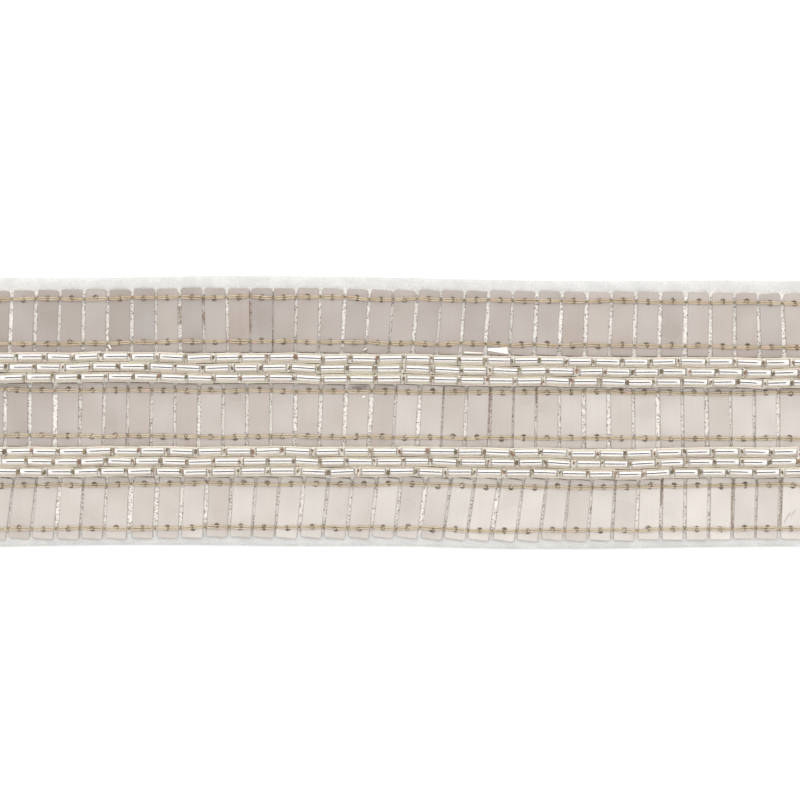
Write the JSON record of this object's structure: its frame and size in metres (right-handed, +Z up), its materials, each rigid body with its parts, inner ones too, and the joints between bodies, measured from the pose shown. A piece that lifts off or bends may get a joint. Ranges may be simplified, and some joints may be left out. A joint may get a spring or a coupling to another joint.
{
  "type": "beaded tape trim",
  "caption": "Cut length of flat net tape sewn with rows of rectangular pearly paillettes and, between them, bands of silver-lined bugle beads.",
  "frame": {"origin": "centre of the tape's underside, midway between its cut ends and between its two edges", "axes": "+X along the tape, +Y across it, towards the edge that is uppermost in the picture, +Z up, out of the beaded face"},
  "size_m": [0.162, 0.0518, 0.0029],
  "materials": {
    "net": "off-white fine net, slightly frosted",
    "pearl": "pearlised taupe, soft satin gloss",
    "silver_lined_glass": "clear glass with a silver-lined bore",
    "thread": "two-ply tan sewing thread"
  },
  "bodies": {
    "root": {"tape": "net", "paillettes_upper": "pearl", "paillettes_middle": "pearl", "paillettes_lower": "pearl", "bugles_1": "silver_lined_glass", "bugles_2": "silver_lined_glass", "bugles_3": "silver_lined_glass", "bugles_4": "silver_lined_glass", "bugles_5": "silver_lined_glass", "bugles_6": "silver_lined_glass"}
  },
  "joints": []
}
